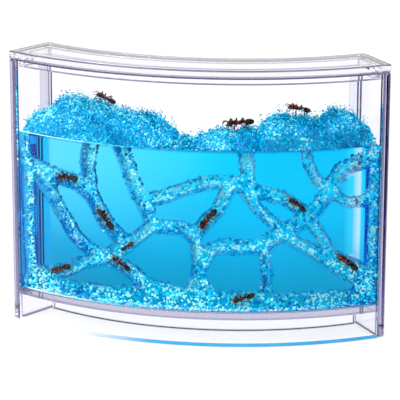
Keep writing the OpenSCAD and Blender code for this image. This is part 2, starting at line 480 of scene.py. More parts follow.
def mottled_material(name, stops, scales, grain, depth=0.1 * MM, **inputs):
    """An opaque surface, coloured by its patches alone."""
    mat, tree, out, body = material(name, **inputs)
    patches, height = add_marks(tree, *scales)
    feed(tree, body.inputs["Base Color"], ramp_of(tree, patches, stops))
    add_grain(tree, body, height, grain, depth)
    show(tree, out, body)
    return mat


def shell_material(name, dark, light):
    """The glossy shell of an ant: its own dark colour, mottled with painted highlight spots in the light
    colour.
    """
    return mottled_material(name, ((0.5, dark), (0.64, light)), SHELL_SCALES, 0.25,
                            Roughness=0.2, IOR=SHELL_IOR, Specular_IOR_Level=0.25)


# the crumbs' tones, drawn at random for each crumb and patch; the palest stops are painted glints
TUNNEL_STOPS = ((0.0, (0.0, 0.14, 0.45)), (0.25, (0.0, 0.34, 0.72)), (0.45, (0.0, 0.58, 0.92)),
                (0.68, (0.04, 0.87, 1)), (0.95, (0.42, 1, 1)))
HEAP_STOPS = ((0.0, (0.0, 0.18, 0.4)), (0.25, (0.0, 0.37, 0.66)), (0.5, (0.0, 0.5, 0.75)),
              (0.75, (0.03, 0.7, 0.88)), (1.0, (0.35, 0.98, 1)))
FRINGE_STOPS = ((0.0, (0.0, 0.05, 0.1)), (0.3, (0.0, 0.4, 0.66)), (0.6, (0.03, 0.75, 0.92)),
                (0.95, (0.45, 1, 1)))
LOOSE_STOPS = ((0.0, (0.0, 0.05, 0.1)), (0.3, (0.0, 0.4, 0.66)), (0.6, (0.1, 0.8, 0.95)),
               (0.85, (0.7, 1, 1)))
CORE_STOPS = ((0.3, (0, 0.18, 0.55)), (0.55, (0, 0.35, 0.75)), (0.75, (0, 0.5, 0.85)))
# the loose crumbs' painted underside shade, and how clear they are
LOOSE_UNDERSIDE_SHADE = (0.0, 0.2, 0.4)
LOOSE_CLEAR = 0.6

# clear plastics: colour, roughness of the roughest patches, reflected light and how much they absorb
clear_plastic = clear_material("clear_plastic", (1, 1, 1), 0.03, 0.05, 17)
lid_plastic = clear_material("lid_plastic", (1, 1, 1), 0.01, 1.0, 5)
# the rounded edges' lavender grey, painted shade for the dark lines that clear edges show
edge_shade_plastic = clear_material("clear_plastic_edge", (0.5, 0.48, 0.64), 0.2, 0.8, 17)
end_plastic = clear_material("clear_plastic_end", (1, 1, 1), 0.03, 0.05, 60)
joint_plastic = clear_material("joint_plastic", (0.8, 0.8, 0.88), 0.15, 0.8, 17)
foot_painted_reflection = painted_reflection_foot_material()
blue_gel = gel_material()
# after the stops, each crumb material's painted underside shade
tunnel_crumb = crumb_material("tunnel_crumb", TUNNEL_STOPS, (0.0, 0.18, 0.5), 1.35)
heap_crumb = crumb_material("heap_crumb", HEAP_STOPS, (0.0, 0.22, 0.5), 0.95)
fringe_crumb = crumb_material("fringe_crumb", FRINGE_STOPS, LOOSE_UNDERSIDE_SHADE)
loose_crumb = crumb_material("loose_crumb", LOOSE_STOPS, LOOSE_UNDERSIDE_SHADE, clear=LOOSE_CLEAR)
lip_highlight_gel = lip_highlight_material()
heap_core = mottled_material("heap_core", CORE_STOPS, CORE_SCALES, 0.8, 0.4 * MM, Roughness=0.25,
                             IOR=GEL_IOR)
# each shell: its own dark colour, then the colour of its painted highlight spots
ant_red = shell_material("ant_red_shell", (0.022, 0.003, 0.001), (0.5, 0.07, 0.02))
ant_black = shell_material("ant_black_shell", (0.002, 0.001, 0.001), (0.1, 0.02, 0.008))

# -------------------------------- clear panels

COLUMNS = 160
FOOT_HEIGHT = 2.0 * MM
PANEL_INSET = END_WALL + JOINT_GAP
PANEL_SOFTENED = 0.45 * MM
END_SOFTENED = 1.0 * MM
LID_SOFTENED = 0.6 * MM
# the cement beads in the back corners: their hollow, the gap over and under them, and how far each
# reaches along the end panel and along the back panel
BEAD_HOLLOW = 0.9 * MM
BEAD_CLEAR = 0.3 * MM
BEAD_SOFTENED = 0.25 * MM
BEADS = (("left", -1, 6.0 * MM, 1.3 * MM), ("right", 1, 1.3 * MM, 6.5 * MM))


def arc_bar(name, outer, inner, low, high, foot=0.0):
    """A curved bar between the end panels; a foot is a row of faces low on its front."""
    section = [(outer, low), (outer, high), (inner, high), (inner, low)]
    if foot:
        section.insert(1, (outer, low + foot))
    points = []
    for c in range(COLUMNS + 1):
        for radius, z in section:
            points.append(polar(radius, share_at(c, COLUMNS) * arc_end(radius, PANEL_INSET), z))
    obj = new_object(name, points, tube_faces(COLUMNS + 1, len(section)), [clear_plastic, edge_shade_plastic])
    outward(obj)
    return obj


def upright(name, side, corners, low, high, mat):
    """A straight upright with this plan, a list of (radius, inset from the end face)."""
    points = []
    for z in (low, high):
        for radius, inset in corners:
            points.append(polar(radius, side * arc_end(radius, inset), z))
    obj = new_object(name, points, tube_faces(2, len(corners)), [mat, edge_shade_plastic])
    outward(obj)
    return obj


def repaint(panel, mat, test):
    """Gives a material to the faces that pass a test of reach from the arc axis, height and normal."""
    panel.data.materials.append(mat)
    slot = len(panel.data.materials) - 1
    for face in panel.data.polygons:
        reach = math.hypot(face.center.x, face.center.y - ARC_Y)
        if test(reach, face.center.z, face.normal):
            face.material_index = slot


def make_panels():
    front = arc_bar("front_panel_clear", FRONT_RADIUS, INNER_FRONT, 0, PANEL_TOP, FOOT_HEIGHT)
    back = arc_bar("back_panel_clear", INNER_BACK, BACK_RADIUS, 0, PANEL_TOP)
    floor = arc_bar("floor_panel_clear", INNER_FRONT - JOINT_GAP, INNER_BACK + JOINT_GAP,
                    FLOOR_BOTTOM, FLOOR_TOP - JOINT_GAP)
    for obj, node in ((front, "front_panel"), (back, "back_panel"), (floor, "floor_panel")):
        panel = soft_edges(obj, PANEL_SOFTENED)
        if node == "front_panel":
            # the low band of the front panel's faces takes the painted reflection of the gel's blue
            repaint(panel, foot_painted_reflection, lambda reach, z, normal: z < FOOT_HEIGHT and abs(normal.x) < 0.9)
        if node == "floor_panel":
            # the floor panel's front face takes the painted edge shade too
            repaint(panel, edge_shade_plastic, lambda reach, z, normal: reach > INNER_FRONT - 0.5 * MM)
        place(panel, "tank", "clear_panel", node)
    plan = [(FRONT_RADIUS, 0), (FRONT_RADIUS, END_WALL), (BACK_RADIUS, END_WALL), (BACK_RADIUS, 0)]
    for label, side in (("left", -1), ("right", 1)):
        obj = upright(label + "_end_panel_clear", side, plan, 0, PANEL_TOP, end_plastic)
        place(soft_edges(obj, END_SOFTENED), "tank", "clear_panel", label + "_end_panel")


def make_corner_joints():
    """Slim beads of clear cement in the two back corners, above the gel."""
    radius = INNER_BACK + JOINT_GAP
    for label, side, on_end, on_back in BEADS:
        plan = [(radius, PANEL_INSET), (radius + on_end, PANEL_INSET),
                (radius + BEAD_HOLLOW, PANEL_INSET + BEAD_HOLLOW), (radius, PANEL_INSET + on_back)]
        bead = upright("corner_joint_" + label, side, plan, GEL_TOP + BEAD_CLEAR, RIM_BOTTOM - BEAD_CLEAR,
                       joint_plastic)
        place(soft_edges(bead, BEAD_SOFTENED), "tank", "clear_panel")


def outline(inset, z):
    """The plan of the tank drawn in by inset on all sides: the front arc, then the back arc."""
    front, back = FRONT_RADIUS - inset, BACK_RADIUS + inset
    shares = [share_at(c, COLUMNS) for c in range(COLUMNS + 1)]
    ring = [polar(front, s * arc_end(front, inset), z) for s in shares]
    ring += [polar(back, s * arc_end(back, inset), z) for s in reversed(shares)]
    return ring


def make_lid():
    """One moulded lid: the plate and, standing in under it, the locating rim."""
    rim_outer = CURVED_WALL + RIM_GAP + 0.25 * MM
    rim_inner = rim_outer + RIM_WALL
    under = PANEL_TOP + JOINT_GAP
    levels = [(0, LID_TOP), (0, under), (rim_outer, under), (rim_outer, RIM_BOTTOM), (rim_inner, RIM_BOTTOM),
              (rim_inner, under)]
    points = []
    for inset, z in levels:
        points += outline(inset, z)
    size = 2 * (COLUMNS + 1)
    faces = ring_faces(len(levels), size)
    for base in (0, size * (len(levels) - 1)):
        for c in range(COLUMNS):
            faces.append((base + c, base + c + 1, base + size - 2 - c, base + size - 1 - c))
    lid = new_object("lid_clear", points, faces, [lid_plastic, edge_shade_plastic])
    outward(lid)
    place(soft_edges(lid, LID_SOFTENED, 3), "lid", "clear_lid", "lid_plate", "lid_locating_rim")


make_panels()
make_corner_joints()
make_lid()

# -------------------------------- gel

GEL_FRONT = INNER_FRONT - GEL_GAP
GEL_BACK = INNER_BACK + GEL_GAP
GEL_INSET = END_WALL + GEL_GAP
GEL_HALF = arc_end(GEL_FRONT, GEL_INSET)
GEL_COLUMNS = 380
GEL_ROWS = 170
CELL = 2 * GEL_HALF * GEL_FRONT / GEL_COLUMNS
LEFT_CORNER = 3.5 * MM
RIGHT_CORNER = 7 * MM
TUNNEL_DEPTH = 6.3 * MM
TUNNEL_SOFTENED = 0.9 * MM
EDGE_MARGIN = 0.1 * MM
# how far the tunnels' outlines waver, how finely across and up, and the seed of that
SHAKE = 0.5 * MM
SHAKE_ACROSS = 90
SHAKE_UP = 0.42
SHAKE_LEVEL = 3.1
SHAKE_SEED = 5
# the rays that look for tunnels stop this little short of the gel's ends
RAY_SPREAD = 0.998
# a ray that gets this far behind the front panel has found one
FOUND_BEHIND = 2 * MM
# how deep the tunnels' floors are torn, how finely across and up, and how much finer again
TEAR = 0.6 * MM
TEAR_ACROSS = 70
TEAR_UP = 0.7
TEAR_FINER = 2.3
# near the ends the tunnels are shallower, as far as this share of their depth
SHALLOWEST = 0.45
SHALLOW_FROM = 5 * MM
SHALLOW_RUN = 8 * MM
CLOSED_END = 0.8 * MM
# how far the two topmost rows draw back
TOP_DRAWN_BACK = (0.7 * MM, 0.12 * MM)
# up to this place along X the tunnels' left walls face the camera, and beyond it the right ones
OPEN_WALLS_TURN = 25 * MM
STEEP = 0.02
# the shares of the depth at which crumbs begin, on the walls that face the camera and on the others
CRUMBS_FROM_OPEN = 0.07
CRUMBS_FROM = 0.3
# the share of the depth where the gel's painted shade along the tunnels' rims is darkest
RIM_AT = 0.15
NEAR_END = 20 * MM
# how far from each end the gel's painted end shade reaches, and how fast it fades
BLUE_END_LEFT = 19.2 * MM
BLUE_END_RIGHT = 8.2 * MM
BLUE_END_FADES = 1.2 * MM
# the marks on the gel's points: where crumbs go, painted rim shade, the tunnels' walls and painted end shade
GEL_MARKS = ("groove", "rim", "wall", "end")
# the thin lips: their sides, middle and half height over where they start, and how much they swell
LIP_SIDES = 8
LIP_MIDDLE = 0.25 * MM
LIP_HALF_HEIGHT = 0.24 * MM
LIP_SWELLS = 0.35
LIP_INSET = END_WALL + 0.6 * MM


def blurred(field, sigma):
    """Gaussian blur of a 2D array, sigma in cells."""
    reach = int(3 * sigma) + 1
    steps = np.arange(-reach, reach + 1)
    kernel = np.exp(-0.5 * (steps / sigma) ** 2)
    kernel /= kernel.sum()
    for axis in (0, 1):
        padded = np.pad(field, [(reach, reach) if a == axis else (0, 0) for a in (0, 1)], "edge")
        field = np.apply_along_axis(lambda row: np.convolve(row, kernel, "valid"), axis, padded)
    return field


def row_height(row):
    return FLOOR_TOP + (GEL_TOP - FLOOR_TOP) * row / GEL_ROWS


def in_gel(z):
    return clamp(z, FLOOR_TOP + EDGE_MARGIN, GEL_TOP - EDGE_MARGIN)


def tunnel_map():
    """1 where the frame's gel is dug out behind its front face and 0 elsewhere, on the gel's grid."""
    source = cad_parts["gel_block"].data
    tree = BVHTree.FromPolygons([v.co for v in source.vertices],
                                [tuple(p.vertices) for p in source.polygons])
    dug = np.zeros((GEL_ROWS + 1, GEL_COLUMNS + 1))
    noise.seed_set(SHAKE_SEED)
    for row in range(GEL_ROWS + 1):
        z = row_height(row)
        for column in range(GEL_COLUMNS + 1):
            angle = GEL_HALF * RAY_SPREAD * share_at(column, GEL_COLUMNS)
            shake = noise.noise_vector(Vector((angle * SHAKE_ACROSS, z / MM * SHAKE_UP, SHAKE_LEVEL)))
            turn = angle + shake.x * SHAKE / GEL_FRONT
            start = polar(FRONT_RADIUS, turn, in_gel(in_gel(z) + shake.y * SHAKE))
            hit = tree.ray_cast(start, Vector((-math.sin(turn), math.cos(turn), 0)), TANK_DEPTH)
            if hit[0] is None or hit[3] > CURVED_WALL + FOUND_BEHIND:
                dug[row, column] = 1
    return dug


def front_point(row, column, cut, steep_up, steep_across):
    """A point of the gel's front, cut back by its share of the tunnels' depth, and its marks."""
    z = row_height(row)
    share = share_at(column, GEL_COLUMNS)
    from_end = min(column, GEL_COLUMNS - column) * CELL
    from_top = GEL_ROWS - row
    cut *= min(1.0, from_end / CLOSED_END)
    shallow = clamp((from_end - SHALLOW_FROM) / SHALLOW_RUN, SHALLOWEST)
    torn = Vector((share * TEAR_ACROSS, z / MM * TEAR_UP, 0))
    rough = noise.noise(torn) + 0.5 * noise.noise(torn * TEAR_FINER)
    depth = cut * (TUNNEL_DEPTH * shallow + TEAR * rough)
    depth += TOP_DRAWN_BACK[from_top] if from_top < len(TOP_DRAWN_BACK) else 0
    point = polar(GEL_FRONT - depth, share * GEL_HALF, z)

    turned = steep_across * (1 if point.x < OPEN_WALLS_TURN else -1)
    near_end = from_end < NEAR_END
    open_wall = turned + 0.5 * steep_up > STEEP or near_end
    groove = clamp((cut - (CRUMBS_FROM_OPEN if open_wall else CRUMBS_FROM)) * 7)
    # painted shade along the tunnels' rims and the top two rows, fainter near the ends
    rim = max(0.0, 1 - abs(cut - RIM_AT) / RIM_AT, 1 - from_top / 2) * (0.3 if near_end else 1)
    wall = clamp((0.85 - cut) / 0.4) if cut > 0.02 else 0.0
    # painted shade at the ends, less where the gel is cut back
    end_width = BLUE_END_LEFT if share < 0 else BLUE_END_RIGHT
    end = clamp(1 - (from_end - end_width) / BLUE_END_FADES) * (1 - 0.8 * min(1.0, cut))
    return point, (groove, rim, wall, end)


def back_point(column, z):
    """A point of the gel's plain back, which is rounded at its corners."""
    share = share_at(column, GEL_COLUMNS)
    from_end = min(column, GEL_COLUMNS - column) * CELL
    corner = LEFT_CORNER if share < 0 else RIGHT_CORNER
    short = max(0.0, corner - from_end)
    radius = GEL_BACK + corner - math.sqrt(corner ** 2 - short ** 2)
    return polar(radius, share * arc_end(radius, GEL_INSET), z)


def gel_faces():
    """The front's grid, then the back's one row of faces and the closing sides."""
    wide = GEL_COLUMNS + 1
    back = (GEL_ROWS + 1) * wide
    top_row = GEL_ROWS * wide
    faces = ring_faces(GEL_ROWS + 1, wide, closed=False)
    for column in range(GEL_COLUMNS):
        b = back + column
        faces.append((b + 1, b, b + wide, b + wide + 1))
        faces.append((column + 1, column, b, b + 1))
        faces.append((top_row + column, top_row + column + 1, b + wide + 1, b + wide))
    left_edge = [row * wide for row in range(GEL_ROWS + 1)]
    right_edge = [row * wide + GEL_COLUMNS for row in range(GEL_ROWS + 1)]
    faces.append(tuple(left_edge + [back + wide, back]))
    faces.append(tuple(reversed(right_edge + [back + wide + GEL_COLUMNS, back + GEL_COLUMNS])))
    return faces


def make_gel():
    """The gel, with the frame's tunnels sunk into its front."""
    soft = blurred(tunnel_map(), TUNNEL_SOFTENED / CELL)
    cuts = np.clip((soft - 0.1) / 0.75, 0, 1)
    cuts = cuts * cuts * (3 - 2 * cuts)
    steep_up, steep_across = np.gradient(cuts)
    points = []
    marks = []
    for place_at, cut in np.ndenumerate(cuts):
        point, found = front_point(*place_at, cut, steep_up[place_at], steep_across[place_at])
        points.append(point)
        marks.append(found)
    for z in (FLOOR_TOP, GEL_TOP):
        for column in range(GEL_COLUMNS + 1):
            points.append(back_point(column, z))
            marks.append((0.0,) * len(GEL_MARKS))
    body = new_object("gel_body", points, gel_faces(), [blue_gel])
    for label, values in zip(GEL_MARKS, zip(*marks)):
        set_mark(body.data, label, values)
    outward(body, merge=False)
    shade(body, 60)
    return place(body, "tank", "blue_gel", "gel_block")


def make_gel_lip(name, low, reach):
    """A thin lip of gel that clings to the front panel, level all along it."""
    points = []
    for column in range(COLUMNS + 1):
        share = share_at(column, COLUMNS)
        swell = 1 + LIP_SWELLS * noise.noise(Vector((share * 60, 5.1, 0)))
        for k in range(LIP_SIDES):
            turn = 2 * math.pi * k / LIP_SIDES
            radius = GEL_FRONT - reach * 1.15 + reach * math.cos(turn)
            height = low + LIP_MIDDLE + LIP_HALF_HEIGHT * swell * math.sin(turn)
            points.append(polar(radius, share * arc_end(radius, LIP_INSET), height))
    lip = new_object(name, points, tube_faces(COLUMNS + 1, LIP_SIDES), [lip_highlight_gel])
    outward(lip)
    shade(lip, 60)
    place(lip, "tank", "blue_gel")


gel = make_gel()
make_gel_lip("gel_lip", GEL_TOP, 0.32 * MM)
make_gel_lip("gel_foot_film", FLOOR_TOP + 0.06 * MM, 0.75 * MM)

# -------------------------------- heaps of crumbs

CRUMB_ROOM = 0.9 * MM
HEAP_PARTS = ("left", "centre", "right")
HEAP_WELD = 0.01 * MM
HEAP_VOXEL = 0.8 * MM
# the core is this share of the heap's height and, above its foot, this much lower, to leave room for crumbs
CORE_SHARE = 0.93
CORE_LOWER = 0.9 * MM
CORE_FOOT = 1 * MM
CORE_LOWEST = 0.05 * MM
# its lumps: how fine and how high, the large ones and the small
CORE_LUMPS = ((130, 1.4 * MM), (400, 0.8 * MM))


def make_heap_core(part):
    """The solid middle of a heap: the frame's heap, drawn in and roughened."""
    node = "crumb_mound_" + part
    name = "crumb_heap_" + part
    raw = linked(name + "_raw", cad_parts[node].data.copy())
    weld = raw.modifiers.new("weld", "WELD")
    weld.merge_threshold = HEAP_WELD
    remesh = raw.modifiers.new("voxels", "REMESH")
    remesh.mode = "VOXEL"
    remesh.voxel_size = HEAP_VOXEL
    core = baked(raw, name)
    mesh = core.data
    mesh.materials.clear()
    mesh.materials.append(heap_core)
    for v in mesh.vertices:
        x, y = v.co.x, v.co.y - ARC_Y
        radius = clamp(math.hypot(x, y), INNER_BACK + CRUMB_ROOM, INNER_FRONT - CRUMB_ROOM)
        limit = arc_end(radius, END_WALL + CRUMB_ROOM)
        angle = clamp(math.atan2(x, -y), -limit, limit)
        lift = sum(noise.noise(v.co * fine) * high for fine, high in CORE_LUMPS)
        z = GEL_TOP + (v.co.z - GEL_TOP) * CORE_SHARE
        if z > GEL_TOP + CORE_FOOT:
            z += lift - CORE_LOWER
        v.co = polar(radius, angle, max(z, GEL_TOP + CORE_LOWEST))
    shade(core, 180)
    return place(core, "tank", "gel_crumbs", node)


heaps = [make_heap_core(part) for part in HEAP_PARTS]

# -------------------------------- scattered crumbs

CRUMB_SIZES = ("Spacing", "Density", "Smallest", "Largest", "Stretch", "Tilt", "Lift",
               "From X", "To X", "From Z")
# added to a scatter's seed, so that no two draws of one crumb agree
SEED_LEAN, SEED_SIZE, SEED_SHAPE, SEED_TONE, SEED_LIFT = 11, 12, 13, 14, 17


def crumb_tree():
    """Geometry nodes that scatter angular crumbs over a carrier mesh, their tops turned outwards."""
    tree = bpy.data.node_groups.new("scattered_crumbs", "GeometryNodeTree")
    kinds = [("Geometry", "Geometry")] + [(label, "Float") for label in CRUMB_SIZES]
    for label, kind in kinds + [("Seed", "Int"), ("Material", "Material")]:
        tree.interface.new_socket(label, in_out="INPUT", socket_type="NodeSocket" + kind)
    tree.interface.new_socket("Geometry", in_out="OUTPUT", socket_type="NodeSocketGeometry")
    given = tree.nodes.new("NodeGroupInput").outputs
    out = tree.nodes.new("NodeGroupOutput")

    def random_value(kind, low, high, salt):
        node = tree.nodes.new("FunctionNodeRandomValue")
        node.data_type = kind
        first, result = (0, 0) if kind == "FLOAT_VECTOR" else (2, 1)
        feed(tree, node.inputs[first], low)
        feed(tree, node.inputs[first + 1], high)
        feed(tree, node.inputs["Seed"], calculated(tree, "ADD", given["Seed"], salt))
        return node.outputs[result]

    def vector_math(operation, first, second):
        node = tree.nodes.new("ShaderNodeVectorMath")
        node.operation = operation
        feed(tree, node.inputs[0], first)
        feed(tree, node.inputs["Scale" if operation == "SCALE" else 1], second)
        return node.outputs[0]

    def stored(geometry, domain, label, value):
        node = tree.nodes.new("GeometryNodeStoreNamedAttribute")
        node.data_type = "FLOAT"
        node.domain = domain
        for key, source in (("Geometry", geometry), ("Name", label), ("Value", value)):
            feed(tree, node.inputs[key], source)
        return node.outputs[0]

    mark = add(tree, "GeometryNodeInputNamedAttribute", Name="groove")
    mark.data_type = "FLOAT"
    factor = mark.outputs["Attribute"]
    position = tree.nodes.new("GeometryNodeInputPosition").outputs[0]
    where = parted(tree, position)
    for axis, operation, label in (("X", "GREATER_THAN", "From X"), ("X", "LESS_THAN", "To X"),
                                   ("Z", "GREATER_THAN", "From Z")):
        factor = calculated(tree, "MULTIPLY", factor, calculated(tree, operation, where[axis], given[label]))
    points = tree.nodes.new("GeometryNodeDistributePointsOnFaces")
    points.distribute_method = "POISSON"
    for key, source in (("Mesh", given["Geometry"]), ("Distance Min", given["Spacing"]),
                        ("Density Max", given["Density"]), ("Density Factor", factor),
                        ("Seed", given["Seed"])):
        feed(tree, points.inputs[key], source)
    rise = random_value("FLOAT", 0.0, given["Lift"], SEED_LIFT)
    raised = vector_math("SCALE", points.outputs["Normal"], rise)
    lifted = add(tree, "GeometryNodeSetPosition", Geometry=points.outputs["Points"], Offset=raised)

    ball = add(tree, "GeometryNodeMeshIcoSphere", Radius=0.5, Subdivisions=1)
    # each crumb's top mark, its points' height in the crumb, which the materials use for the painted shade
    # of the undersides
    crumb = stored(ball.outputs["Mesh"], "POINT", "top", calculated(tree, "ADD", where["Z"], 0.5))

    tilts = add(tree, "ShaderNodeCombineXYZ", X=given["Tilt"], Y=given["Tilt"], Z=1.0)
    lean = random_value("FLOAT_VECTOR", (-1.0, -1.0, -3.14), (1.0, 1.0, 3.14), SEED_LEAN)
    turned = add(tree, "FunctionNodeRotateRotation", Rotation=points.outputs["Rotation"],
                 Rotate_By=vector_math("MULTIPLY", lean, tilts.outputs[0]))
    turned.rotation_space = "LOCAL"
    shape = random_value("FLOAT_VECTOR", (0.5, 0.5, 0.5), (1.4, 1.4, 1.4), SEED_SHAPE)
    size = random_value("FLOAT", given["Smallest"], given["Largest"], SEED_SIZE)
    longer = add(tree, "ShaderNodeCombineXYZ", X=1.0, Y=1.0, Z=given["Stretch"])
    scale = vector_math("MULTIPLY", vector_math("SCALE", shape, size), longer.outputs[0])

    put = add(tree, "GeometryNodeInstanceOnPoints", Points=lifted.outputs[0], Instance=crumb,
              Rotation=turned.outputs[0], Scale=scale)
    toned = stored(put.outputs[0], "INSTANCE", "tone", random_value("FLOAT", 0.0, 1.0, SEED_TONE))
    real = add(tree, "GeometryNodeRealizeInstances", Geometry=toned)
    paint = add(tree, "GeometryNodeSetMaterial", Geometry=real.outputs[0], Material=given["Material"])
    tree.links.new(paint.outputs[0], out.inputs[0])
    return tree


CRUMBS = crumb_tree()


def scatter(name, carrier, mat, seed, span=(-1, 1), *, spacing, smallest, largest, from_z=0.0,
            stretch=1, tilt=0.7, lift=0, fill=1):
    """Crumbs over a carrier between two places along X, as a plain mesh; other lengths in millimetres."""
    holder = linked(name + "_live", carrier.data.copy())
    modifier = holder.modifiers.new("crumbs", "NODES")
    modifier.node_group = CRUMBS
    sizes = (spacing * MM, 1.2 / (spacing * MM) ** 2 * fill, smallest * MM, largest * MM, stretch, tilt,
             lift * MM, span[0], span[1], from_z * MM)
    values = {label: float(value) for label, value in zip(CRUMB_SIZES, sizes)}
    values.update({"Seed": seed, "Material": mat})
    for item in CRUMBS.interface.items_tree:
        if item.in_out == "INPUT" and item.name in values:
            modifier[item.identifier] = values[item.name]
    return place(baked(holder, name), "tank", "gel_crumbs")


# crumbs all over a heap, then shards, fluff and a spray of loose crumbs along its crest
ABOVE_GEL = GEL_TOP / MM
HEAP_CRUMBS = dict(spacing=0.65, smallest=0.55, largest=1.4, lift=0.5, from_z=ABOVE_GEL + 0.3)
CREST_LAYERS = (
    ("shards", heap_crumb, 30,
     dict(spacing=1.2, smallest=0.35, largest=0.8, stretch=4, tilt=1.0, lift=0.6, from_z=ABOVE_GEL + 1.2)),
    ("fluff", fringe_crumb, 50,
     dict(spacing=0.7, smallest=0.3, largest=0.8, stretch=2.2, tilt=1.5, lift=2.6, from_z=ABOVE_GEL + 0.8)),
    ("spray", fringe_crumb, 70,
     dict(spacing=0.95, smallest=0.25, largest=0.65, stretch=2, tilt=1.5, lift=5, from_z=ABOVE_GEL + 0.8)))


def cover_heap(index, part):
    mesh = heaps[index].data
    set_mark(mesh, "groove", [1.0] * len(mesh.vertices))
    scatter("heap_crumbs_" + part, heaps[index], heap_crumb, 20 + index, **HEAP_CRUMBS)
    set_mark(mesh, "groove", [clamp(v.normal.z * 4 - 2.8) for v in mesh.vertices])
    for layer, mat, first_seed, sizes in CREST_LAYERS:
        scatter(f"heap_{layer}_{part}", heaps[index], mat, first_seed + index, **sizes)


for index, part in enumerate(HEAP_PARTS):
    cover_heap(index, part)

# the tunnels' crumbs, in three pieces that meet at these places along X
TUNNEL_SPANS = (("left", (-1, -0.033)), ("middle", (-0.033, 0.030)), ("right", (0.030, 1)))
for index, (part, span) in enumerate(TUNNEL_SPANS):
    scatter("tunnel_crumbs_" + part, gel, tunnel_crumb, 40 + index, span, spacing=1.1, smallest=1.2,
            largest=2.3, lift=0.3, from_z=FLOOR_TOP / MM + 1.3)

# strewn crumbs: name, material, seed, span along X and sizes
STREWN_ROOM = 1.5 * MM
STREWN = (
    ("strewn_crumbs", loose_crumb, 60, (-1, 1),
     dict(spacing=1.3, smallest=0.5, largest=1.4, lift=0.5, fill=0.5)),
    ("strewn_dip_crumbs", fringe_crumb, 61, (-0.014, 0.008),
     dict(spacing=0.7, smallest=0.4, largest=1.2, stretch=1.5, tilt=1.5, lift=4.5)),
    ("strewn_left_crumbs", fringe_crumb, 62, (-1, -0.072),
     dict(spacing=0.55, smallest=0.4, largest=1.2, stretch=1.5, tilt=1.5, lift=8)),
    ("strewn_right_crumbs", fringe_crumb, 63, (0.074, 1),
     dict(spacing=0.65, smallest=0.4, largest=1.3, stretch=1.5, tilt=1.5, lift=5)))
GALLERY = (("gallery_floor_crumbs", tunnel_crumb, 64, (-1, 1),
            dict(spacing=1.1, smallest=1.1, largest=2.1, lift=0.8)),)


def strew(layers, outer, inner, z, columns=60):
    """Crumbs over a level strip between two radii, which is then removed."""
    points = []
    for column in range(columns + 1):
        for radius in (outer, inner):
            end = arc_end(radius, END_WALL + STREWN_ROOM)
            points.append(polar(radius, share_at(column, columns) * end, z))
    sheet = new_object("crumb_carrier", points, ring_faces(columns + 1, 2, closed=False))
    outward(sheet)
    if sheet.data.polygons[0].normal.z < 0:
        sheet.data.flip_normals()
    set_mark(sheet.data, "groove", [1.0] * len(sheet.data.vertices))
    for name, mat, seed, span, sizes in layers:
        scatter(name, sheet, mat, seed, span, **sizes)
    bpy.data.objects.remove(sheet)


strew(STREWN, INNER_FRONT - STREWN_ROOM, INNER_BACK + STREWN_ROOM, GEL_TOP + 0.2 * MM)
strew(GALLERY, GEL_FRONT - 0.9 * MM, GEL_FRONT - TUNNEL_DEPTH, FLOOR_TOP + 0.5 * MM)

# -------------------------------- ants

ANT_SCALE = 1.2
ANT_INSET = 3.1 * MM
# how high the middle of an ant stands over a heap: a little less than its legs, whose tips sink in
ANT_STANDS = 1.4
MIDDLE_RADIUS = (INNER_FRONT + INNER_BACK) / 2
RED, BLACK = 0, 1
LEG_RADII = (0.28, 0.26, 0.3, 0.26, 0.25, 0.2, 0.17, 0.12)
# the body from its hind end to the head: start x, end x, half width, half height, z, steps, colour, sides
ANT_BODY = ((-5.6, -2.3, 1.04, 1.02, 0.12, 12, BLACK, 16), (-2.4, -1.95, 0.36, 0.48, 0.1, 6, RED, 10),
            (-2.05, -1.55, 0.36, 0.62, 0.2, 6, RED, 10), (-1.75, 0.1, 0.72, 0.76, 0.02, 9, RED, 12),
            (-0.5, 1.3, 0.86, 0.96, 0.16, 9, RED, 12), (1.15, 3.25, 1.0, 1.05, -0.05, 11, RED, 14))
# the hind body's plates: x and radius
ANT_PLATES = ((-3.1, 0.97), (-3.9, 1.02), (-4.7, 0.87))
ANT_NECK = ((0.95, 0.4, 0.42, 0.05), (1.45, 0.42, 0.44, 0.0))
ANT_EYE = (2.15, 2.6, 0.2, 0.24, 0.3, 5)
EYE_OUT = 0.82
# where along X each leg starts, and where its foot stands before a random shift
ANT_LEGS = ((0.75, 3.1), (0.05, 0.4), (-0.85, -3.4))


class Shell:
    """Collects the rounded bodies and limbs of one ant."""

    def __init__(self):
        self.points, self.faces, self.slots = [], [], []

    def add_tube(self, points, sides, slot):
        base = len(self.points)
        faces = tube_faces(len(points) // sides, sides)
        self.points += points
        self.faces += [tuple(i + base for i in f) for f in faces]
        self.slots += [slot] * len(faces)

    def turned(self, stations, slot, sides, y=0.0):
        """A body of rings along X, each (x, half width, half height, z)."""
        points = []
        for x, wide, tall, z in stations:
            for k in range(sides):
                a = 2 * math.pi * k / sides
                points.append(Vector((x, wide * math.cos(a) + y, z + tall * math.sin(a))))
        self.add_tube(points, sides, slot)

    def limb(self, joints, radii, slot, sides=7):
        """A tube through joints with a radius at each."""
        points = []
        for i, p in enumerate(joints):
            before = joints[max(i - 1, 0)]
            after = joints[min(i + 1, len(joints) - 1)]
            along = (Vector(after) - Vector(before)).normalized()
            side = along.cross(Vector((0.13, 0.2, 1))).normalized()
            other = along.cross(side)
            for k in range(sides):
                a = 2 * math.pi * k / sides
                points.append(Vector(p) + (side * math.cos(a) + other * math.sin(a)) * radii[i])
        self.add_tube(points, sides, slot)


def rounded(start, end, wide, tall, z, steps):
    """Stations of an egg-shaped body from start to end along X."""
    stations = []
    for i in range(steps + 1):
        a = math.pi * i / steps
        swell = max(math.sin(a) ** 0.85, 0.04)
        stations.append((start + (end - start) * (1 - math.cos(a)) / 2, wide * swell, tall * swell, z))
    return stations


